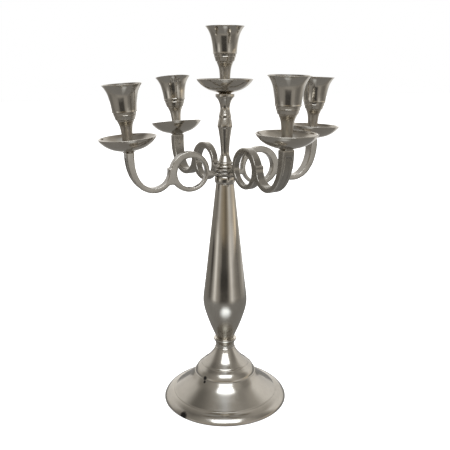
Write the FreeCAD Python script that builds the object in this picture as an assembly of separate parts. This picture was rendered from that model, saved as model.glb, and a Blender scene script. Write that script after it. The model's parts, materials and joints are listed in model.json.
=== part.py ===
import FreeCAD
import Part

import math
import os

# Five-light tabletop candelabra: a domed base, a turned stem and two crossed double arms, stacked
# on one tie rod and clamped by the baluster that carries the middle light. Every light is a pan and
# a cup, held by a stud. Millimetres, +Z up, origin at the centre of the base's bottom rim.

# --- heights of the stacked pieces, from the table up ---
base_height = 62.8
lower_collar_height = 8.0
stem_height = 176.3
upper_collar_height = 8.0
hub_washer_thickness = 0.6
eye_thickness = 3.4
baluster_height = 76.6
end_play = 0.05

# --- base ---
base_radius = 69.0
base_band_radius = 56.6
base_band_height = 9.2
shoulder_radius = 33.4
shoulder_height = 30.6
neck_ring_radius = 25.2
neck_ring_height = 41.6
base_neck_radius = 10.4
base_wall = 2.0
ring_step = 1.2
ring_lift = 0.7

# --- collars and stem ---
lower_collar_radius = 12.7
collar_lip = 1.7
upper_collar_radius = 10.9
stem_foot_radius = 9.4
stem_belly_radius = 24.2
stem_belly_height = 46.5
stem_top_radius = 9.7
stem_wall = 2.0
stem_land = 6.0

# --- tie rod and its fasteners ---
rod_radius = 3.0
rod_tail = 3.0
rod_in_baluster = 13.0
running_clearance = 0.05
passage_clearance = 0.3
base_nut_width = 10.0
base_nut_height = 5.0
base_washer_radius = 12.0
base_washer_thickness = 1.6
lock_washer_radius = 6.2
lock_washer_thickness = 1.5
hub_washer_radius = 8.2

# --- double arms: places are measured out from the tie rod and up from the eye's underside ---
eye_radius = 10.4
neck_width = 7.6
neck_thickness = 5.8
arm_reach = 101.6
seat_height = 31.7
crossing_angle = 77.5
ring_reach = 39.3
ring_height = 7.1
ring_radius = 21.0
hole_radius = 15.5
hole_shift = 1.6
bend_reach = 79.5
bend_drop = 11.5
bend_thickness = 5.3
riser_thickness = 8.6
hook_height = 12.6
hook_step = 2.0
strap_width_at_ring = 7.2
strap_width_at_seat = 14.0
channel_width = 7.4
channel_depth = 1.0

# --- the arms are bent cold, so each seat has its own lift and its own outward lean ---
left_lift, left_lean = -2.6, 4.1
right_lift, right_lean = 2.6, 2.7
front_lift, front_lean = 2.2, 1.6
back_lift, back_lean = -2.2, 8.1

# --- lights: heights are measured up from the seat that the pan rests on ---
pan_radius = 29.0
pan_height = 14.8
pan_wall = 1.3
pan_boss_radius = 6.4
pan_boss_height = 0.6
pan_floor_height = 4.2
cup_height = 61.9
cup_rim_radius = 19.8
cup_rim_wall = 1.2
cup_neck_radius = 5.4
cup_foot_radius = 5.9
socket_radius = 11.25
socket_depth = 24.0
socket_wall_length = 14.5
stud_radius = 3.0
stud_below_seat = 9.0
stud_in_cup = 14.0

# --- heights that follow ---
base_ceiling_z = neck_ring_height - base_wall
base_washer_z = base_ceiling_z - base_washer_thickness
base_nut_z = base_washer_z - base_nut_height
stem_z = base_height + lower_collar_height
upper_collar_z = stem_z + stem_height
lower_washer_z = upper_collar_z + upper_collar_height
lower_eye_z = lower_washer_z + hub_washer_thickness + end_play
middle_washer_z = lower_eye_z + eye_thickness + end_play
upper_eye_z = middle_washer_z + hub_washer_thickness + end_play
baluster_z = upper_eye_z + eye_thickness + end_play
top_seat_z = baluster_z + baluster_height


def vec(x, y, z):
    return FreeCAD.Vector(x, y, z)


class Outline:
    """A closed outline in the XZ plane, drawn from point to point as (distance out, height)."""

    def __init__(self, out, up):
        self.start = vec(out, 0, up)
        self.end = self.start
        self.edges = []

    def line(self, out, up):
        target = vec(out, 0, up)
        self.edges.append(Part.LineSegment(self.end, target).toShape())
        self.end = target
        return self

    def curve(self, *points):
        """One smooth curve from the last point through the given ones."""
        stops = [self.end] + [vec(out, 0, up) for out, up in points]
        spline = Part.BSplineCurve()
        spline.interpolate(stops)
        self.edges.append(spline.toShape())
        self.end = stops[-1]
        return self

    def face(self):
        if not self.end.isEqual(self.start, 1e-7):
            self.line(self.start.x, self.start.z)
        return Part.Face(Part.Wire(self.edges))

    def turned(self):
        return self.face().revolve(vec(0, 0, 0), vec(0, 0, 1), 360)

    def strap(self, width):
        """The outline as a plate of this width, centred on the XZ plane."""
        plate = self.face().extrude(vec(0, width, 0))
        plate.translate(vec(0, -width / 2, 0))
        return plate


def cylinder(radius, low, high):
    return Part.makeCylinder(radius, high - low, vec(0, 0, low))


def lifted(shape, height):
    moved = shape.copy()
    moved.translate(vec(0, 0, height))
    return moved


def spun(shape, angle):
    moved = shape.copy()
    moved.rotate(vec(0, 0, 0), vec(0, 0, 1), angle)
    return moved


def save(node, shape):
    if not shape.isValid() or not shape.Solids:
        raise ValueError("bad solid: " + node)
    shape.exportStep("parts/" + node + ".step")


# --- base ---
def base_skin(inset):
    """Outline of the base's outer face up to the neck ring, or of the hollow that follows it."""
    band_out, band_up = base_band_radius - inset, base_band_height - inset
    shoulder_out, shoulder_up = shoulder_radius - inset, shoulder_height - inset
    ring_out, ring_up = neck_ring_radius - inset, neck_ring_height - inset
    dome_out, dome_up = band_out - shoulder_out, shoulder_up - band_up
    skin = Outline(0, 0).line(base_radius - inset, 0)
    skin.curve(
        (base_radius - inset - 0.5, band_up * 0.30),
        (base_radius - inset - 2.6, band_up * 0.57),
        (base_radius - inset - 6.6, band_up * 0.83),
        (band_out + ring_step, band_up),
    )
    skin.line(band_out, band_up + ring_lift)
    skin.curve(
        (band_out - dome_out * 0.40, band_up + dome_up * 0.35),
        (band_out - dome_out * 0.77, band_up + dome_up * 0.70),
        (shoulder_out + ring_step, shoulder_up),
    )
    skin.line(shoulder_out, shoulder_up + ring_lift)
    middle = (shoulder_out + ring_out) / 2 + 1.0, (shoulder_up + ring_up) / 2 + 0.8
    skin.curve(middle, (ring_out + ring_step, ring_up - ring_lift))
    return skin.line(ring_out, ring_up)


def base():
    skin = base_skin(0)
    rise = base_height - neck_ring_height
    flare = neck_ring_radius - base_neck_radius
    skin.curve(
        (base_neck_radius + flare * 0.42, neck_ring_height + rise * 0.42),
        (base_neck_radius + 0.3, base_height - 3.2),
    )
    skin.line(base_neck_radius + 0.3, base_height).line(0, base_height)
    hollow = base_skin(base_wall).line(0, base_ceiling_z)
    rod_way = cylinder(rod_radius + passage_clearance, 0, base_height)
    return skin.turned().cut(hollow.turned()).cut(rod_way)


def hex_nut(width, height, hole):
    corner = width / math.sqrt(3)
    points = [
        vec(corner * math.cos(math.radians(60 * k)), corner * math.sin(math.radians(60 * k)), 0)
        for k in range(7)
    ]
    prism = Part.Face(Part.makePolygon(points)).extrude(vec(0, 0, height))
    return prism.cut(cylinder(hole, 0, height))


def washer(radius, thickness, hole):
    return cylinder(radius, 0, thickness).cut(cylinder(hole, 0, thickness))


def tie_rod():
    return cylinder(rod_radius, base_nut_z - rod_tail, baluster_z + rod_in_baluster)


# --- collars, stem and baluster ---
def lower_collar():
    lip = lower_collar_height - collar_lip
    body = Outline(0, 0).line(base_neck_radius, 0)
    body.curve((base_neck_radius + 1.1, lip * 0.35), (lower_collar_radius, lip))
    body.line(lower_collar_radius, lower_collar_height).line(0, lower_collar_height)
    rod_way = cylinder(rod_radius + passage_clearance, 0, lower_collar_height)
    return body.turned().cut(rod_way)


def stem_skin(inset):
    """Outline of the stem's outer face, or of the hollow that follows it above the solid foot."""
    belly = stem_belly_radius - inset
    foot = stem_foot_radius - inset
    bulge = belly - foot
    foot_top = stem_belly_height * 0.38
    low = foot_top if inset else 0
    high = stem_height - stem_land if inset else stem_height
    taper = (stem_belly_radius - stem_top_radius) / (stem_height - stem_belly_height)
    skin = Outline(0, low)
    if inset:
        skin.line(foot + bulge * 0.50, low)
        skin.curve((foot + bulge * 0.80, stem_belly_height * 0.66), (belly, stem_belly_height))
    else:
        skin.line(foot, low).curve(
            (foot + bulge * 0.50, foot_top),
            (foot + bulge * 0.80, stem_belly_height * 0.66),
            (belly, stem_belly_height),
        )
    return skin.line(belly - taper * (high - stem_belly_height), high).line(0, high)


def stem():
    rod_way = cylinder(rod_radius + passage_clearance, 0, stem_height)
    return stem_skin(0).turned().cut(stem_skin(stem_wall).turned()).cut(rod_way)


def upper_collar():
    body = Outline(0, 0).line(stem_top_radius, 0)
    body.curve((upper_collar_radius - 0.3, 1.3), (upper_collar_radius, 3.0))
    body.line(upper_collar_radius, upper_collar_height - 0.6)
    body.line(upper_collar_radius - 0.6, upper_collar_height).line(0, upper_collar_height)
    rod_way = cylinder(rod_radius + passage_clearance, 0, upper_collar_height)
    return body.turned().cut(rod_way)


def baluster():
    """Two beads at the foot, a slim waist, a pear, a second waist and a flared head."""
    top = baluster_height
    body = Outline(0, 0).line(8.0, 0)
    body.curve((8.8, 1.5), (8.1, 3.3)).line(7.0, 3.9)
    body.curve((8.2, 5.6), (7.0, 7.3))
    waist = (6.0, 9.8), (4.5, 15.0), (4.6, top * 0.27)
    body.curve(*waist, (5.3, top * 0.38), (6.5, top * 0.49), (7.1, top * 0.54))
    body.line(7.7, top * 0.56)
    body.curve((7.7, top * 0.59), (6.9, top * 0.65), (6.3, top * 0.685))
    body.curve((6.4, top * 0.71), (6.0, top * 0.735))
    body.curve((5.0, top * 0.81), (5.6, top * 0.865), (7.1, top * 0.917), (9.0, top * 0.953))
    body.line(9.8, top * 0.965).line(9.8, top).line(0, top)
    rod_hole = cylinder(rod_radius + running_clearance, 0, rod_in_baluster + 1)
    recess = cylinder(lock_washer_radius + running_clearance, 0, lock_washer_thickness + end_play)
    stud_hole = cylinder(stud_radius + running_clearance, top - stud_below_seat - 1, top)
    return body.turned().cut(rod_hole).cut(recess).cut(stud_hole)


# --- double arms ---
def bend_up(lift):
    """Height of the strap's middle line at the bottom of its bend, which follows the seat's lift."""
    return bend_thickness / 2 - bend_drop + lift * 0.75


def ring_up(lift):
    return ring_height + lift * 0.4


def strap_path(lift):
    """Middle line of the strap: down beside the ring, round the bend and up to the seat."""
    hook = ring_reach + ring_radius + hook_step - bend_thickness / 2
    low, high = bend_up(lift), hook_height + lift * 0.6
    run, drop = bend_reach - hook, high - low
    out, up = arm_reach - bend_reach, seat_height + lift - low
    stops = [
        (hook, high),
        (hook + run * 0.02, low + drop * 0.60),
        (hook + run * 0.18, low + drop * 0.31),
        (hook + run * 0.47, low + drop * 0.09),
        (bend_reach, low),
        (bend_reach + out * 0.47, low + up * 0.11),
        (bend_reach + out * 0.81, low + up * 0.36),
        (bend_reach + out * 0.96, low + up * 0.63),
        (arm_reach, seat_height + lift),
    ]
    path = Part.BSplineCurve()
    path.interpolate([vec(a, 0, b) for a, b in stops])
    return path


def strap_side(lift, lean, shares, depth):
    """Points along the strap, this deep below its outer face; a depth of 1 is its inner face."""
    path = strap_path(lift)
    first, last = path.FirstParameter, path.LastParameter
    points = []
    for share in shares:
        at = first + (last - first) * share
        point, along = path.value(at), path.tangent(at)[0]
        across = vec(along.z, 0, -along.x)
        if share == 1:
            across = vec(math.cos(math.radians(lean)), 0, -math.sin(math.radians(lean)))
        growth = max(0.0, share - 0.45) / 0.55
        thickness = bend_thickness + (riser_thickness - bend_thickness) * growth
        stop = point + across * (thickness * (0.5 - depth))
        points.append((stop.x, stop.z))
    return points


def strap_outline(lift, lean):
    shares = [k / 14 for k in range(15)]
    inner = strap_side(lift, lean, shares, 1)
    outer = strap_side(lift, lean, shares, 0)
    outline = Outline(*inner[0]).curve(*inner[1:]).line(*outer[-1])
    return outline.curve(*reversed(outer[:-1]))


def channel(lift, lean):
    """The shallow trough between the two edge ribs of the riser's outer face."""
    shares = [0.52 + 0.41 * k / 8 for k in range(9)]
    deep = strap_side(lift, lean, shares, channel_depth / riser_thickness)
    proud = strap_side(lift, lean, shares, -0.3)
    outline = Outline(*proud[0]).line(*deep[0]).curve(*deep[1:]).line(*proud[-1])
    return outline.curve(*reversed(proud[:-1])).strap(channel_width)


def disc_plate(out, up, radius, width):
    return Part.makeCylinder(radius, width, vec(out, -width / 2, up), vec(0, 1, 0))


def web(lift):
    """Fills the corner between the ring's underside and the bend with a smooth hollow."""
    middle, top = ring_reach + ring_radius * 0.88, bend_up(lift) + bend_thickness * 0.85
    start = ring_radius * 0.57
    outline = Outline(ring_reach + start, ring_up(lift) - math.sqrt(ring_radius**2 - start**2))
    outline.curve(
        (middle - 3.2, top - 0.9), (middle, top), (middle + 4, top - 0.2), (middle + 9.5, top - 1.7)
    )
    outline.line(middle + 8.4, top + 1.5).line(middle + 2.0, ring_up(lift) - ring_radius * 0.24)
    return outline.line(ring_reach + start, ring_up(lift) - ring_radius * 0.34)


def half_arm(lift, lean):
    width = strap_width_at_seat
    strap = strap_outline(lift, lean).strap(width).cut(channel(lift, lean))
    ring = disc_plate(ring_reach, ring_up(lift), ring_radius, width)
    shift = hole_shift * 0.7
    hole = disc_plate(ring_reach - hole_shift, ring_up(lift) - shift, hole_radius, width)
    neck_end = ring_reach - ring_radius + 2
    neck = Outline(0, 0).line(neck_end, 0).line(neck_end, neck_thickness)
    neck.line(neck_end - 4.6, neck_thickness - 0.2)
    neck.line(eye_radius + 0.2, eye_thickness).line(0, eye_thickness)
    side_view = strap.fuse([ring, web(lift).strap(width)]).cut(hole)
    narrow, wide = strap_width_at_ring / 2, strap_width_at_seat / 2
    start, spread, end = neck_end - 5, ring_reach, arm_reach + riser_thickness
    side = [(start, narrow), (spread, narrow), (end, wide)]
    plan = side + [(x, -y) for x, y in reversed(side)]
    floor = bend_up(lift) - riser_thickness
    wire = Part.makePolygon([vec(x, y, floor) for x, y in plan + plan[:1]])
    trim = Part.Face(wire).extrude(vec(0, 0, seat_height + lift - floor + riser_thickness))
    return side_view.common(trim).fuse(neck.strap(neck_width))


def seat_place(lift, lean):
    """Moves a piece from a light's own frame to the seat at the end of the arm."""
    return FreeCAD.Placement(vec(arm_reach, 0, seat_height + lift), FreeCAD.Rotation(vec(0, 1, 0), lean))


def tapped_arm(lift, lean):
    thread = cylinder(stud_radius + running_clearance, -stud_below_seat - 1, 1)
    thread.Placement = seat_place(lift, lean)
    return half_arm(lift, lean).cut(thread)


def double_arm(first, second):
    """One casting with two arms; the second is opposite the first, across the eye."""
    eye = cylinder(eye_radius, 0, eye_thickness)
    hub_hole = cylinder(rod_radius + running_clearance, 0, neck_thickness)
    return eye.fuse([tapped_arm(*first), spun(tapped_arm(*second), 180)]).cut(hub_hole).removeSplitter()


# --- lights ---
def pan():
    rim = pan_radius - pan_wall
    body = Outline(0, 0).line(pan_boss_radius, 0).line(pan_boss_radius, pan_boss_height)
    body.curve(
        (pan_boss_radius + 2.0, pan_height * 0.09),
        (pan_radius * 0.47, pan_height * 0.19),
        (pan_radius * 0.62, pan_height * 0.30),
        (pan_radius * 0.80, pan_height * 0.52),
        (pan_radius * 0.95, pan_height * 0.81),
        (pan_radius, pan_height),
    )
    body.line(rim, pan_height)
    body.curve(
        (rim * 0.94, pan_height * 0.85),
        (rim * 0.78, pan_height * 0.64),
        (rim * 0.60, pan_height * 0.46),
        (cup_foot_radius + 2.4, pan_floor_height),
    )
    body.line(0, pan_floor_height)
    return body.turned().cut(cylinder(stud_radius + passage_clearance, 0, pan_floor_height))


def cup():
    top, rim = cup_height, cup_rim_radius
    floor = top - socket_depth
    body = Outline(0, 0).line(cup_foot_radius, 0).line(cup_foot_radius, 1.2)
    body.curve(
        (cup_neck_radius, 3.2),
        (cup_neck_radius, top * 0.22),
        (cup_neck_radius + 1.0, top * 0.35),
        (cup_neck_radius + 3.0, top * 0.436),
    )
    body.line(socket_radius - 1.7, top * 0.452)
    body.curve((socket_radius - 0.6, top * 0.51), (socket_radius + 0.2, top * 0.57))
    body.line(socket_radius + 0.9, top * 0.58)
    body.curve((socket_radius + 2.1, top * 0.75), (socket_radius + 3.7, top * 0.862), (rim, top))
    body.line(rim - cup_rim_wall, top)
    body.curve((socket_radius + 2.0, top * 0.915), (socket_radius, floor + socket_wall_length))
    body.line(socket_radius, floor).line(0, floor)
    return body.turned().cut(cylinder(stud_radius + running_clearance, 0, stud_in_cup + 1))


def stud():
    return cylinder(stud_radius, -stud_below_seat, pan_floor_height + stud_in_cup)


def light_pieces(place, name):
    pieces = {"pan": pan(), "cup": lifted(cup(), pan_floor_height), "stud": stud()}
    for kind, piece in pieces.items():
        piece.Placement = place.multiply(piece.Placement)
        save(name + "_" + kind, piece)


def arm_light_place(arm, angle, eye_z):
    around = FreeCAD.Placement(vec(0, 0, eye_z), FreeCAD.Rotation(vec(0, 0, 1), angle))
    return around.multiply(seat_place(*arm))


os.makedirs("parts", exist_ok=True)
rod_way_radius = rod_radius + passage_clearance
thread_radius = rod_radius + running_clearance
hub_washer = washer(hub_washer_radius, hub_washer_thickness, rod_way_radius)
left, right = (left_lift, left_lean), (right_lift, right_lean)
front, back = (front_lift, front_lean), (back_lift, back_lean)

save("base", base())
save("base_washer", lifted(washer(base_washer_radius, base_washer_thickness, rod_way_radius), base_washer_z))
save("base_nut", lifted(hex_nut(base_nut_width, base_nut_height, thread_radius), base_nut_z))
save("tie_rod", tie_rod())
save("lower_collar", lifted(lower_collar(), base_height))
save("stem", lifted(stem(), stem_z))
save("upper_collar", lifted(upper_collar(), upper_collar_z))
save("lower_hub_washer", lifted(hub_washer, lower_washer_z))
save("lower_double_arm", lifted(double_arm(right, left), lower_eye_z))
save("middle_hub_washer", lifted(hub_washer, middle_washer_z))
save("upper_double_arm", spun(lifted(double_arm(front, back), upper_eye_z), -crossing_angle))
save("lock_washer", lifted(washer(lock_washer_radius, lock_washer_thickness, rod_way_radius), baluster_z))
save("baluster", lifted(baluster(), baluster_z))

light_pieces(FreeCAD.Placement(vec(0, 0, top_seat_z), FreeCAD.Rotation()), "top")
light_pieces(arm_light_place(left, 180, lower_eye_z), "left")
light_pieces(arm_light_place(right, 0, lower_eye_z), "right")
light_pieces(arm_light_place(front, -crossing_angle, upper_eye_z), "front")
light_pieces(arm_light_place(back, 180 - crossing_angle, upper_eye_z), "back")
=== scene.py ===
"""Looks for the five-light tabletop candelabra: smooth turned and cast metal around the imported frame."""

import json
import math

import bmesh
import bpy
from mathutils import Matrix, Vector


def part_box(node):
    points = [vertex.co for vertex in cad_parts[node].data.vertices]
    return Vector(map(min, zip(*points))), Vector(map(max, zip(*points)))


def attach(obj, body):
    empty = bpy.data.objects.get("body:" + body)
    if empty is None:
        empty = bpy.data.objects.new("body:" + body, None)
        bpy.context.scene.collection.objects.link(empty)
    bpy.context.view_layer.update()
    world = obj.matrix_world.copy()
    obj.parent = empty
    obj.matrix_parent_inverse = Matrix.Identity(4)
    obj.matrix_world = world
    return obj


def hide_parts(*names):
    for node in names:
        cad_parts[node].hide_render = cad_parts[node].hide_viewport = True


MM = 0.001
LIGHTS = ("top", "left", "right", "front", "back")

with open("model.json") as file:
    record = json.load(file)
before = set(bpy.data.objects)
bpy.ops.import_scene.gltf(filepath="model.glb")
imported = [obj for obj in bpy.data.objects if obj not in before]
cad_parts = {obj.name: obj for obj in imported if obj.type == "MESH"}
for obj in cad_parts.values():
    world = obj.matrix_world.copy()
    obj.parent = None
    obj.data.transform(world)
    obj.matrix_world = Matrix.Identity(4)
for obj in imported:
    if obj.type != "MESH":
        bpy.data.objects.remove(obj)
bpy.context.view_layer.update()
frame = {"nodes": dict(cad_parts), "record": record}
scene = bpy.context.scene
joints = {j["name"]: j for j in frame["record"]["behaviour"]["joints"]}


# --- node materials ---
class Graph:
    """A material's or world's node tree, with one short call for each kind of node it uses."""

    def __init__(self, owner):
        owner.use_nodes = True
        self.tree = owner.node_tree
        self.nodes = self.tree.nodes
        self.nodes.clear()

    def add(self, kind, inputs=(), **settings):
        node = self.nodes.new(kind)
        for name, value in settings.items():
            setattr(node, name, value)
        for name, value in dict(inputs).items():
            self.feed(node.inputs[name], value)
        return node

    def feed(self, socket, value):
        """Links another node's output to an input, or sets the input to a plain value."""
        if isinstance(value, bpy.types.NodeSocket):
            self.tree.links.new(value, socket)
        else:
            socket.default_value = value

    def math(self, operation, *values):
        node = self.add("ShaderNodeMath", operation=operation)
        for socket, value in zip(node.inputs, values):
            self.feed(socket, value)
        return node.outputs[0]

    def ramp(self, factor, stops):
        node = self.add("ShaderNodeValToRGB", {"Fac": factor})
        band = node.color_ramp
        while len(band.elements) < len(stops):
            band.elements.new(0.5)
        for element, (place, colour) in zip(band.elements, stops):
            element.position = place
            element.color = (*colour, 1)
        return node.outputs["Color"]

    def span(self, value, low, high, to_low, to_high):
        node = self.add(
            "ShaderNodeMapRange",
            {"Value": value, "From Min": low, "From Max": high, "To Min": to_low, "To Max": to_high},
        )
        return node.outputs["Result"]

    def noise(self, place, scale, detail=3.0, rough=0.55):
        node = self.add(
            "ShaderNodeTexNoise", {"Vector": place, "Scale": scale, "Detail": detail, "Roughness": rough}
        )
        return node.outputs["Fac"]

    def mix(self, factor, first, second, blend="MIX"):
        """Mixes two colours; 6, 7 and the output 2 are the Mix node's colour sockets."""
        node = self.add("ShaderNodeMix", data_type="RGBA", blend_type=blend)
        self.feed(node.inputs[0], factor)
        for index, value in ((6, first), (7, second)):
            self.feed(node.inputs[index], (*value, 1) if isinstance(value, tuple) else value)
        return node.outputs[2]


def grey(level, warmth=0.0):
    """A grey with a little more red and rather less blue where warmth is above 0."""
    return (level * (1 + warmth), level, level * (1 - 1.4 * warmth))


# Scales of the metals' noises, as repeats per metre.
WAVE_SCALE, GRAIN_SCALE, LATHE_SCALE, RAGGED_SCALE = 55.0, 1400.0, 1800.0, 900.0
# Geometry's Pointiness in a corner, and on a flat.
CORNER, FLAT = 0.46, 0.53
TARNISH_COLOUR = (0.05, 0.048, 0.044)
# Dark spots where the base's plating has tarnished: centre and reach, in metres.
TARNISH = (
    ((-0.0294, -0.0154, 0.0324), 0.0026),
    ((-0.0308, -0.0176, 0.0293), 0.0018),
    ((-0.0603, -0.0323, 0.0024), 0.0052),
)


def metal(name, dark, bright, rough, mottle, wave=0.0, grain=0.0, lathe=0.0, painted_corner_shade=0.0, haze=None, marks=()):
    """A worked metal, from a cloudy tint between dark and bright.

    rough is the least and greatest roughness, and mottle the clouds' scale. wave, grain and lathe are
    heights of bump in millimetres. painted_corner_shade is painted shade: the share of the tint kept in
    corners and channels. haze is two heights and the roughness added below the first, which fades out at
    the second. marks are tarnished spots.
    """
    material = bpy.data.materials.new(name)
    g = Graph(material)
    place = g.add("ShaderNodeTexCoord").outputs["Object"]
    up = g.add("ShaderNodeSeparateXYZ", {"Vector": place}).outputs["Z"]
    tint = g.ramp(g.noise(place, mottle, 4.0, 0.6), [(0.30, dark), (0.70, bright)])
    # Painted shade: the tint is darkened where Pointiness finds corners and channels.
    if painted_corner_shade:
        hollow = g.add("ShaderNodeNewGeometry").outputs["Pointiness"]
        depth = g.span(hollow, CORNER, FLAT, painted_corner_shade, 1.0)
        dimmed = g.add("ShaderNodeCombineColor", {"Red": depth, "Green": depth, "Blue": depth})
        tint = g.mix(1.0, tint, dimmed.outputs[0], "MULTIPLY")
    for centre, reach in marks:
        away = g.add("ShaderNodeVectorMath", {0: place, 1: centre}, operation="DISTANCE").outputs["Value"]
        edge = g.math("MULTIPLY", g.noise(place, RAGGED_SCALE, 2.0, 0.6), reach * 0.6)
        ragged = g.math("ADD", away, edge)
        tint = g.mix(g.span(ragged, reach * 0.9, reach * 1.3, 1.0, 0.0), tint, TARNISH_COLOUR)
    polish = g.span(g.noise(place, mottle * 2.3, 5.0, 0.65), 0.3, 0.7, *rough)
    if haze:
        low, high, dulling = haze
        polish = g.math("ADD", polish, g.span(up, low, high, dulling, 0.0))
    heights = []
    if wave:
        heights.append(g.math("MULTIPLY", g.noise(place, WAVE_SCALE, 2.0, 0.5), wave))
    if grain:
        heights.append(g.math("MULTIPLY", g.noise(place, GRAIN_SCALE, 3.0, 0.6), grain))
    if lathe:
        level = g.add("ShaderNodeCombineXYZ", {"Z": up}).outputs[0]
        heights.append(g.math("MULTIPLY", g.noise(level, LATHE_SCALE, 3.0, 0.7), lathe))
    total = heights[0]
    for height in heights[1:]:
        total = g.math("ADD", total, height)
    bump = g.add("ShaderNodeBump", {"Height": total, "Distance": MM, "Strength": 1.0})
    surface = g.add(
        "ShaderNodeBsdfPrincipled",
        {"Base Color": tint, "Roughness": polish, "Metallic": 1.0, "Normal": bump.outputs["Normal"]},
    )
    g.add("ShaderNodeOutputMaterial", {"Surface": surface.outputs[0]})
    return material


# The plating's darkest and brightest tint.
PLATE_DARK, PLATE_BRIGHT = (0.50, 0.465, 0.405), (0.58, 0.545, 0.485)

# One finish for each of the record's material slots.
MATERIALS = {
    "polished_metal": metal(
        "polished_metal", PLATE_DARK, PLATE_BRIGHT, (0.08, 0.13), 40.0, wave=0.010, lathe=0.0005
    ),
    "satin_metal": metal(
        "satin_metal", PLATE_DARK, (0.59, 0.552, 0.488), (0.15, 0.20), 30.0,
        wave=0.02, grain=0.001, lathe=0.002, marks=TARNISH,
    ),
    "cast_metal": metal(
        "cast_metal", (0.47, 0.44, 0.385), (0.60, 0.565, 0.505), (0.17, 0.27), 60.0,
        wave=0.06, grain=0.001, painted_corner_shade=0.35,
    ),
    "plain_steel": metal(
        "plain_steel", (0.38, 0.38, 0.38), (0.50, 0.50, 0.50), (0.25, 0.40), 90.0, grain=0.01
    ),
}
# Pieces that differ a little from their slot's finish.
STEM_METAL = metal(
    "stem_metal", PLATE_DARK, PLATE_BRIGHT, (0.05, 0.09), 40.0,
    wave=0.010, lathe=0.0008, haze=(0.045, 0.074, 0.13),
)
BALUSTER_METAL = metal(
    "baluster_metal", (0.49, 0.455, 0.395), PLATE_BRIGHT, (0.13, 0.18), 60.0, wave=0.02, lathe=0.0008
)
CUP_METAL = metal(
    "cup_metal", PLATE_DARK, PLATE_BRIGHT, (0.08, 0.13), 40.0,
    wave=0.010, lathe=0.0005, haze=(0.022, 0.032, 0.20),
)
PAN_METAL = metal(
    "pan_metal", (0.48, 0.44, 0.38), (0.57, 0.53, 0.465), (0.10, 0.16), 35.0,
    wave=0.02, grain=0.001, lathe=0.002,
)


# --- turned pieces: outlines in millimetres, as (distance out, height) ---
TURNED_STEPS = 144  # faces round a turned piece
RUN_STEPS = 8  # divisions between two points of a smooth stretch
ARC_STEPS = 4  # divisions of a softened corner
SOFTENED_TURN = math.radians(18)  # an outline's sharper corners are softened
SHARP_EDGE = math.radians(50)  # sharper edges aren't shaded smooth
CORNER_SHARE = 0.45  # the most of a straight stretch that a softened corner takes

BORE = 3.4  # the hole for the rod or stud
PAN_FLOOR = 4.2  # the top of a pan's thick middle, where its cup stands
SOCKET_RADIUS, SOCKET_DEPTH = 11.25, 24.0


def smooth_run(points):
    """A smooth line through the points, closely divided."""
    out = []
    last = len(points) - 1
    for i in range(last):
        before, a, b, after = (Vector(points[max(0, min(last, k))]) for k in (i - 1, i, i + 1, i + 2))
        reach = (b - a).length
        lead = (b - before).normalized() * reach / 3
        tail = (after - a).normalized() * reach / 3
        for k in range(RUN_STEPS):
            t = k / RUN_STEPS
            s = 1 - t
            place = a * s**3 + (a + lead) * 3 * s * s * t + (b - tail) * 3 * s * t * t + b * t**3
            out.append(tuple(place))
    out.append(tuple(points[-1]))
    return out


def softened(points, radius):
    """Rounds each sharp corner of an outline with a small arc."""
    out = [points[0]]
    for before, here, after in zip(points, points[1:], points[2:]):
        a, b, c = Vector(before), Vector(here), Vector(after)
        back, ahead = a - b, c - b
        if back.length < 1e-6 or ahead.length < 1e-6:
            continue
        turn = math.pi - back.angle(ahead)
        if turn < SOFTENED_TURN:
            out.append(here)
            continue
        cut = min(radius * math.tan(turn / 2), back.length * CORNER_SHARE, ahead.length * CORNER_SHARE)
        start, end = b + back.normalized() * cut, b + ahead.normalized() * cut
        for k in range(ARC_STEPS + 1):
            t = k / ARC_STEPS
            out.append(tuple(start * (1 - t) ** 2 + b * 2 * t * (1 - t) + end * t * t))
    out.append(points[-1])
    return out


def outline(*parts, radius=0.35):
    """Joins straight and smooth stretches; a list of points is smooth, a single point is a corner."""
    points = []
    for part in parts:
        stretch = smooth_run(part) if isinstance(part, list) else [part]
        for point in stretch:
            if not points or (Vector(point) - Vector(points[-1])).length > 1e-4:
                points.append(tuple(point))
    return softened(points, radius)


def turned(name, points, place):
    """A mesh spun from an outline that is closed, or starts and ends on the axis."""
    mesh = bpy.data.meshes.new(name)
    bm = bmesh.new()
    rings = []
    for out, up in points:
        if out < 1e-4:
            rings.append([bm.verts.new((0, 0, up * MM))])
            continue
        ring = []
        for k in range(TURNED_STEPS):
            a = 2 * math.pi * k / TURNED_STEPS
            ring.append(bm.verts.new((out * MM * math.cos(a), out * MM * math.sin(a), up * MM)))
        rings.append(ring)
    for low, high in zip(rings, rings[1:]):
        for k in range(TURNED_STEPS):
            n = (k + 1) % TURNED_STEPS
            corners = (low[k % len(low)], low[n % len(low)], high[n % len(high)], high[k % len(high)])
            face = list(dict.fromkeys(corners))
            if len(face) > 2:
                bm.faces.new(face)
    bmesh.ops.recalc_face_normals(bm, faces=bm.faces)
    for face in bm.faces:
        face.smooth = True
    bm.to_mesh(mesh)
    bm.free()
    mesh.set_sharp_from_angle(angle=SHARP_EDGE)
    piece = bpy.data.objects.new(name, mesh)
    scene.collection.objects.link(piece)
    piece.matrix_world = place
    return piece


def dress(piece, body, node, slot_name, material=None):
    """Gives a piece its finish, the slot's own unless one is given, and its body, and hides the frame's node
    that it stands for.
    """
    piece.data.materials.clear()
    piece.data.materials.append(material or MATERIALS[slot_name])
    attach(piece, body)
    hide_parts(node)
    return piece


def upright(node):
    """A place on the stem's axis, at the foot of a node."""
    return Matrix.Translation((0, 0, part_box(node)[0].z))


def seat(light):
    """A light's own frame: its foot, with Z along its stud."""
    joint = joints[light + "_cup_unscrew"]
    turn = Vector((0, 0, 1)).rotation_difference(Vector(joint["axis"]))
    return Matrix.Translation(joint["pos_m"]) @ turn.to_matrix().to_4x4()


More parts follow.
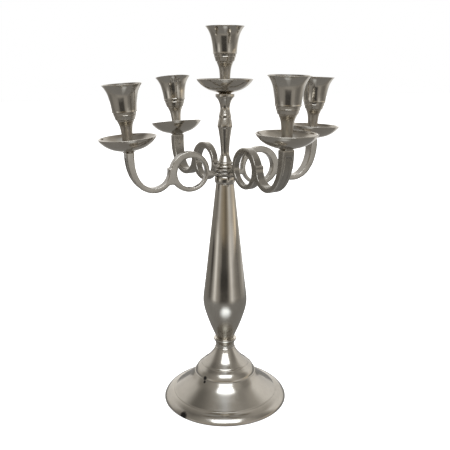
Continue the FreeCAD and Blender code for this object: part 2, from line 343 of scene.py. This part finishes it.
def base_outline():
    return outline(
        (BORE, 60.0),
        (BORE, 40.0),
        (22.0, 40.0),
        [(23.0, 39.8), (28.0, 35.6), (31.4, 29.6)],
        [(31.4, 29.6), (37.0, 23.0), (46.0, 15.6), (54.6, 7.4)],
        [(54.6, 7.4), (61.0, 4.4), (65.6, 1.2), (66.6, 0)],
        (67.0, 0),
        (68.9, 0),
        (69.0, 0.5),
        [(69.0, 1.0), (68.1, 3.0), (66.4, 5.0), (64.1, 6.8), (61.0, 8.2), (58.0, 9.1)],
        (57.9, 9.6),
        [(56.7, 9.9), (47.2, 17.2), (38.9, 24.5), (34.6, 30.6)],
        (34.6, 31.0),
        [(33.5, 31.5), (32.6, 34.0), (30.3, 37.6), (26.5, 40.9)],
        (26.3, 41.4),
        (25.2, 41.9),
        [(25.0, 42.2), (20.0, 46.6), (15.8, 51.3), (12.8, 55.6), (11.0, 58.9)],
        [(11.0, 58.9), (11.4, 59.6), (11.0, 60.3)],
        (10.4, 60.6),
        (10.4, 62.8),
        (BORE, 62.8),
        (BORE, 60.0),
    )


def lower_collar_outline():
    return outline(
        (BORE, 0),
        (10.3, 0),
        [(10.3, 0.4), (10.6, 2.0), (11.4, 4.4), (12.4, 5.9)],
        (12.7, 6.3),
        (12.7, 7.8),
        (12.3, 8.0),
        (10.6, 8.0),
        (10.2, 7.4),
        (9.6, 7.4),
        (9.4, 8.0),
        (BORE, 8.0),
        (BORE, 0),
        radius=0.3,
    )


def stem_outline():
    return outline(
        (BORE, 0),
        (9.3, 0),
        [
            (9.4, 0.2), (12.2, 6.6), (16.8, 17.7), (21.3, 30.7), (23.5, 39.6), (24.1, 45.5), (23.9, 50.5),
            (23.2, 56.5), (22.2, 64.5), (20.9, 76.0),
        ],
        (9.7, 176.0),
        (9.5, 176.3),
        (BORE, 176.3),
        (BORE, 0),
    )


def upper_collar_outline():
    return outline(
        (BORE, 0),
        (9.7, 0),
        [(9.9, 0.2), (10.6, 1.2), (10.9, 2.8), (10.9, 5.4), (10.6, 7.2), (10.2, 7.9)],
        (9.8, 8.0),
        (BORE, 8.0),
        (BORE, 0),
    )


def baluster_outline():
    top = 76.6
    return outline(
        (0, 0),
        (7.6, 0),
        [(7.9, 0.1), (8.7, 1.0), (8.7, 2.2), (7.9, 3.5)],
        (7.0, 3.9),
        [(7.2, 4.2), (8.1, 5.2), (8.0, 6.1), (7.0, 7.3)],
        [
            (7.0, 7.3), (6.0, 9.8), (4.5, 15.0), (4.6, top * 0.27), (5.3, top * 0.38),
            (6.5, top * 0.49), (7.1, top * 0.54),
        ],
        [(7.1, top * 0.54), (7.7, top * 0.56), (7.7, top * 0.59), (6.9, top * 0.65), (6.3, top * 0.685)],
        [(6.3, top * 0.685), (6.4, top * 0.71), (6.0, top * 0.735)],
        [
            (6.0, top * 0.735), (5.0, top * 0.81), (5.6, top * 0.865), (7.1, top * 0.917),
            (9.0, top * 0.953),
        ],
        (9.8, top * 0.965),
        (9.8, top - 0.2),
        (9.5, top),
        (0, top),
    )


def pan_outline():
    rim, top = 29.0, 14.8
    return outline(
        (BORE, PAN_FLOOR),
        (BORE, 0),
        (6.1, 0),
        (6.4, 0.4),
        [(6.5, 0.65), (8.5, 1.4), (13.6, 2.85), (18.0, 4.5), (23.2, 7.75), (27.5, 12.0), (28.8, 14.1)],
        (rim, 14.4),
        (rim - 0.2, top),
        (rim - 1.0, top),
        [(rim - 1.5, 14.4), (26.0, 12.5), (21.6, 9.4), (16.6, 6.75), (8.5, 4.3)],
        (6.4, PAN_FLOOR),
        (BORE, PAN_FLOOR),
    )


def cup_outline():
    top, rim = 61.9, 19.8
    return outline(
        (0, 0),
        (5.7, 0),
        (5.9, 0.3),
        (5.9, 1.1),
        [
            (5.7, 1.6), (5.4, 3.2), (5.3, top * 0.13), (5.4, top * 0.22), (6.4, top * 0.35),
            (8.4, top * 0.436),
        ],
        (8.5, top * 0.445),
        (9.5, top * 0.452),
        [(9.6, top * 0.456), (10.3, top * 0.496), (10.6, top * 0.512)],
        [(10.6, top * 0.512), (11.1, top * 0.520), (11.0, top * 0.530)],
        [(11.0, top * 0.530), (11.3, top * 0.552), (11.5, top * 0.565)],
        (12.2, top * 0.572),
        (12.2, top * 0.584),
        [
            (12.1, top * 0.592), (12.5, top * 0.66), (13.3, top * 0.75), (14.9, top * 0.862),
            (17.2, top * 0.940), (19.2, top * 0.985),
        ],
        (rim, top * 0.992),
        (rim, top),
        (rim - 0.9, top),
        [
            (rim - 1.2, top * 0.992), (16.0, top * 0.945), (13.3, top * 0.900),
            (SOCKET_RADIUS + 0.1, top * 0.855),
        ],
        (SOCKET_RADIUS, top - 9.5),
        (SOCKET_RADIUS, top - SOCKET_DEPTH),
        (0, top - SOCKET_DEPTH),
    )


for piece_name, points, body, node, slot_name, material in (
    ("base_shell", base_outline(), "column", "base", "satin_metal", None),
    ("lower_collar_ring", lower_collar_outline(), "column", "lower_collar", "polished_metal", None),
    ("stem_body", stem_outline(), "column", "stem", "polished_metal", STEM_METAL),
    ("upper_collar_ring", upper_collar_outline(), "column", "upper_collar", "polished_metal", None),
    ("baluster_body", baluster_outline(), "baluster", "baluster", "polished_metal", BALUSTER_METAL),
):
    dress(turned(piece_name, points, upright(node)), body, node, slot_name, material)

HOLDER = {
    "top": "baluster",
    "left": "lower_arms",
    "right": "lower_arms",
    "front": "upper_arms",
    "back": "upper_arms",
}
for light in LIGHTS:
    foot = seat(light)
    pan, cup = light + "_pan", light + "_cup"
    dress(turned(pan + "_bowl", pan_outline(), foot), HOLDER[light], pan, "satin_metal", PAN_METAL)
    lifted = foot @ Matrix.Translation((0, 0, PAN_FLOOR * MM))
    dress(turned(cup + "_body", cup_outline(), lifted), cup, cup, "polished_metal", CUP_METAL)


# --- cast arms: the frame's own shape with a casting's soft edges ---
# The walls beside the stud holes are too thin for the softening, so each hole is plugged first.
PLUG_RADIUS = 3.3 * MM
PLUG_LENGTH = 9.2 * MM
PLUG_BELOW_SEAT = 1.0 * MM
CASTING_VOXEL = 0.5 * MM
CASTING_RELAX = 14  # rounds of smoothing


def cast(name, node, body, lights):
    """An arm casting: the node's mesh with plugged stud holes, remeshed and smoothed."""
    mesh = frame["nodes"][node].data.copy()
    bm = bmesh.new()
    bm.from_mesh(mesh)
    bmesh.ops.remove_doubles(bm, verts=bm.verts, dist=1e-6)
    for light in lights:
        plug = seat(light) @ Matrix.Translation((0, 0, -PLUG_LENGTH / 2 - PLUG_BELOW_SEAT))
        bmesh.ops.create_cone(
            bm,
            segments=48,
            cap_ends=True,
            radius1=PLUG_RADIUS,
            radius2=PLUG_RADIUS,
            depth=PLUG_LENGTH,
            matrix=plug,
        )
    bm.to_mesh(mesh)
    bm.free()
    raw = bpy.data.objects.new(name + "_raw", mesh)
    scene.collection.objects.link(raw)
    remesh = raw.modifiers.new("remesh", "REMESH")
    remesh.mode = "VOXEL"
    remesh.voxel_size = CASTING_VOXEL
    remesh.use_smooth_shade = True
    relax = raw.modifiers.new("relax", "SMOOTH")
    relax.factor = 0.5
    relax.iterations = CASTING_RELAX
    bpy.context.view_layer.update()
    final = bpy.data.meshes.new_from_object(raw.evaluated_get(bpy.context.evaluated_depsgraph_get()))
    final.name = name
    bpy.data.objects.remove(raw)
    piece = bpy.data.objects.new(name, final)
    scene.collection.objects.link(piece)
    return dress(piece, body, node, "cast_metal")


cast("lower_arm_casting", "lower_double_arm", "lower_arms", ("left", "right"))
cast("upper_arm_casting", "upper_double_arm", "upper_arms", ("front", "back"))

# The rod, nut, washers and studs are the frame's own solids.
for carried in frame["nodes"].values():
    if not carried.hide_render:
        carried.data.materials.clear()
        carried.data.materials.append(MATERIALS["plain_steel"])


# --- stage: everything is placed by its bearing, in degrees, from the side where the camera stands ---
CAMERA_BEARING = -20.8
CAMERA_AWAY, CAMERA_UP, CAMERA_DIP = 0.6544, 0.3694, 14.42
SENSOR_WIDTH = 36
FOCAL_LENGTH, IMAGE_WIDTH = 626.55, 450  # pixels


def around(bearing, away, up):
    """A point seen from the axis at this bearing: 0 is the camera's side, 90 its right."""
    a = math.radians(CAMERA_BEARING - 90 + bearing)
    return Vector((away * math.cos(a), away * math.sin(a), up))


camera = bpy.data.objects.new("camera", bpy.data.cameras.new("camera"))
scene.collection.objects.link(camera)
camera.location = around(0, CAMERA_AWAY, CAMERA_UP)
camera.rotation_euler = (math.radians(90 - CAMERA_DIP), 0, math.radians(CAMERA_BEARING))
camera.data.sensor_width = SENSOR_WIDTH
camera.data.lens = FOCAL_LENGTH / IMAGE_WIDTH * SENSOR_WIDTH
camera.data.clip_start = 0.01
scene.camera = camera


def softbox(name, bearing, away, up, size, power, target=(0, 0, 0.2), colour=(1, 1, 1)):
    """A rectangular lamp, in metres and watts, which faces its target and isn't seen itself."""
    lamp = bpy.data.lights.new(name, "AREA")
    lamp.shape = "RECTANGLE"
    lamp.size, lamp.size_y = size
    lamp.energy = power
    lamp.color = colour
    box = bpy.data.objects.new(name, lamp)
    scene.collection.objects.link(box)
    box.location = around(bearing, away, up)
    box.rotation_euler = (Vector(target) - box.location).to_track_quat("-Z", "Y").to_euler()
    box.visible_camera = False
    return box


softbox(
    "key", bearing=2.5, away=0.754, up=0.918, size=(0.86, 0.60), power=5.2,
    target=(0, 0, 0.05), colour=(0.86, 0.92, 1.0),
)
top_light = softbox("top_light", bearing=180, away=0.3, up=1.5, size=(1.6, 1.2), power=22)
top_light.visible_glossy = False


# Room tones by elevation. Each band is full between its heights, as the upward share of the direction,
# and blends into the next. Its stops are (bearing, brightness) or (bearing, brightness, warmth).
ROOM = (
    (
        (-0.52,),
        [
            (-180, 0.26), (-60, 0.28), (-22, 0.38), (22, 0.38), (60, 0.28), (180, 0.26),
        ],
    ),
    (
        (-0.44, -0.27),
        [
            (-180, 0.80), (-160, 0.60), (-142, 0.30), (-110, 0.19), (-95, 0.23), (-78, 0.31),
            (-52, 0.34), (-38, 0.28), (-27, 0.08), (8, 0.07), (15, 0.20), (22, 0.38), (40, 0.40),
            (52, 0.26), (70, 0.20), (84, 0.22), (98, 0.33), (112, 0.54), (128, 0.78), (150, 0.80),
            (165, 0.70), (180, 0.50),
        ],
    ),
    (
        (-0.16, -0.11),
        [
            (-180, 1.20), (-155, 0.60), (-140, 0.26), (-120, 0.26), (-107, 0.26), (-97, 0.15),
            (-90, 0.07), (-84, 0.12), (-77, 0.28), (-67, 0.62), (-60, 1.05), (-55, 1.02), (-50, 0.72),
            (-45, 0.46), (-38, 0.34), (-30, 0.22), (-22, 0.06), (10, 0.06), (17, 0.14), (22, 0.30),
            (27, 0.45), (37, 0.99), (42, 0.86), (47, 0.66), (57, 0.42), (67, 0.30), (88, 0.22),
            (98, 0.30), (120, 0.36), (145, 0.60), (180, 1.20),
        ],
    ),
    (
        (-0.085, -0.05),
        [
            (-180, 1.40), (-155, 0.80), (-140, 0.36), (-120, 0.32), (-107, 0.30), (-92, 0.25),
            (-80, 0.31), (-72, 0.48), (-57, 1.08), (-47, 0.63), (-40, 0.40), (-30, 0.33), (-22, 0.22),
            (-17, 0.09), (3, 0.09), (17, 0.18), (22, 0.31), (32, 0.82), (38, 0.96), (47, 0.82),
            (58, 0.72), (72, 0.75, 0.08), (80, 0.60, 0.12), (86, 0.90, 0.14), (92, 1.02, 0.14),
            (98, 0.88, 0.12), (110, 0.68, 0.1), (124, 0.54, 0.08), (150, 0.90), (180, 1.40),
        ],
    ),
    (
        (-0.02, 0.08),
        [
            (-180, 1.50), (-150, 0.80), (-110, 0.46), (-87, 0.22), (-77, 0.26), (-67, 0.39),
            (-58, 0.62), (-47, 0.56), (-37, 0.42, 0.1), (-22, 0.34, 0.14), (-10, 0.30, 0.18),
            (2, 0.19, 0.18), (14, 0.21, 0.14), (22, 0.33, 0.1), (32, 0.60, 0.06), (42, 0.76),
            (52, 0.70), (65, 0.54), (82, 0.62, 0.1), (100, 0.70, 0.08), (125, 0.80), (150, 0.70),
            (180, 1.50),
        ],
    ),
    (
        (0.20, 0.60),
        [
            (-180, 1.70), (-166, 0.95), (-148, 0.78), (-128, 0.78), (-110, 0.64), (-97, 0.32),
            (-80, 0.23), (-60, 0.30), (-37, 0.42), (0, 0.45), (37, 0.50), (52, 0.40), (67, 0.28),
            (84, 0.27), (96, 0.46), (106, 0.90), (128, 0.86), (146, 0.80), (164, 0.82), (180, 1.50),
        ],
    ),
    (
        (0.76, 0.85),
        [
            (-180, 0.60), (-157, 0.34), (-127, 0.24), (-97, 0.17), (-82, 0.19), (-67, 0.26),
            (-45, 0.38), (0, 0.56, -0.03), (45, 0.46), (67, 0.30), (80, 0.32), (97, 0.42), (120, 0.42),
            (142, 0.46), (160, 0.48), (180, 0.80),
        ],
    ),
    (
        (0.94,),
        [
            (-180, 0.68, -0.05), (-142, 0.28), (-90, 0.25), (-37, 0.37), (0, 0.66, -0.05), (37, 0.43),
            (90, 0.30), (142, 0.32), (180, 0.68, -0.05),
        ],
    ),
)
# The table as the metal mirrors it, a painted reflection: an even glowing tone, and one brighter glowing
# patch in front of the base. The patch's stops are (distance to the front, brightness), and it fades over the
# spans below, in metres.
TABLE_TONE = 0.27
TABLE_GLOW_STOPS = [(0.085, 0.0), (0.125, 2.0), (0.19, 2.0), (0.24, 1.0), (0.31, 0.50), (0.42, 0.25), (0.55, 0.12)]
PATCH_OFFSET = 0.009
PATCH_SIDES = (0.030, 0.085)
PATCH_REACH = (0.20, 0.29)  # pieces further up see less of it
PATCH_FAR_SHARE = 0.25
TABLE_EDGE = (0.45, 0.60)


def shade(level, warmth=None):
    """A grey that is slightly warmer where it is darker."""
    if warmth is None:
        warmth = 0.04 if level < 0.6 else 0.01
    return grey(level, warmth)


def from_front(g, vector):
    """X, Y and Z of a place or direction on the stage, turned so that bearing 0 is -Y and 90 is X."""
    facing = g.add(
        "ShaderNodeVectorRotate",
        {"Vector": vector, "Angle": math.radians(-CAMERA_BEARING)},
        rotation_type="Z_AXIS",
    )
    return g.add("ShaderNodeSeparateXYZ", {"Vector": facing.outputs[0]}).outputs


def floor():
    """A pale table: a painted glow makes it white to the camera, and in the metal's reflections it is a
    painted reflection, a glowing mid tone with one brighter patch.
    """
    size, drop = 6.0, 0.0002
    mesh = bpy.data.meshes.new("floor")
    corners = [(-size, -size, 0), (size, -size, 0), (size, size, 0), (-size, size, 0)]
    mesh.from_pydata(corners, [], [(0, 1, 2, 3)])
    table = bpy.data.objects.new("floor", mesh)
    scene.collection.objects.link(table)
    table.location.z = -drop
    material = bpy.data.materials.new("pale_floor")
    g = Graph(material)
    place = g.add("ShaderNodeTexCoord").outputs["Object"]
    away = g.add("ShaderNodeVectorMath", {0: place}, operation="LENGTH").outputs["Value"]
    path = g.add("ShaderNodeLightPath").outputs

    matt = g.add("ShaderNodeBsdfDiffuse", {"Color": (0.9, 0.9, 0.9, 1)})
    # Painted light: the floor glows white, and glows less near the base so that its shadow still shows.
    floor_glow = g.add("ShaderNodeEmission", {"Color": (1, 1, 1, 1), "Strength": g.span(away, 0.1, 0.6, 0.55, 1.0)})
    seen = g.add("ShaderNodeAddShader", {0: matt.outputs[0], 1: floor_glow.outputs[0]})

    # Painted reflection: glossy rays see the table glow with an even tone and a brighter, bluish patch.
    parts = from_front(g, place)
    furthest = TABLE_GLOW_STOPS[-1][0]
    nearness = g.math("DIVIDE", parts["Y"], -furthest)
    length = g.ramp(nearness, [(reach / furthest, grey(level)) for reach, level in TABLE_GLOW_STOPS])
    aside = g.math("ABSOLUTE", g.math("SUBTRACT", parts["X"], PATCH_OFFSET))
    patch = g.math("MULTIPLY", length, g.span(aside, *PATCH_SIDES, 1.0, 0.0))
    patch = g.math("MULTIPLY", patch, g.span(path["Ray Length"], *PATCH_REACH, 1.0, PATCH_FAR_SHARE))
    colour = g.mix(g.span(patch, 0.0, 0.8, 0.0, 1.0), shade(1.0), (0.86, 0.93, 1.0))
    close = g.add("ShaderNodeEmission", {"Color": colour, "Strength": g.math("ADD", patch, TABLE_TONE)})
    beyond = g.add("ShaderNodeBsdfTransparent")
    edge = g.span(away, *TABLE_EDGE, 0.0, 1.0)
    mirrored = g.add("ShaderNodeMixShader", {"Fac": edge, 1: close.outputs[0], 2: beyond.outputs[0]})

    chosen = g.add(
        "ShaderNodeMixShader", {"Fac": path["Is Glossy Ray"], 1: seen.outputs[0], 2: mirrored.outputs[0]}
    )
    g.add("ShaderNodeOutputMaterial", {"Surface": chosen.outputs[0]})
    mesh.materials.append(material)


def room():
    """The surroundings that the metal mirrors: a world of soft tones by bearing and elevation."""
    world = bpy.data.worlds.new("studio")
    scene.world = world
    g = Graph(world)
    parts = from_front(g, g.add("ShaderNodeTexCoord").outputs["Generated"])
    bearing = g.math("ARCTAN2", parts["X"], g.math("MULTIPLY", parts["Y"], -1.0))
    share = g.span(bearing, -math.pi, math.pi, 0.0, 1.0)
    tone, below = None, None
    for heights, stops in ROOM:
        band = g.ramp(share, [((degrees + 180) / 360, shade(*levels)) for degrees, *levels in stops])
        if tone is None:
            tone = band
        else:
            tone = g.mix(g.span(parts["Z"], below, heights[0], 0.0, 1.0), tone, band)
        below = heights[-1]
    path = g.add("ShaderNodeLightPath").outputs
    colour = g.mix(path["Is Camera Ray"], tone, (1.0, 1.0, 1.0))
    backdrop = g.add("ShaderNodeBackground", {"Color": colour, "Strength": 1.0})
    g.add("ShaderNodeOutputWorld", {"Surface": backdrop.outputs[0]})


floor()
room()
scene.view_settings.view_transform = "Standard"
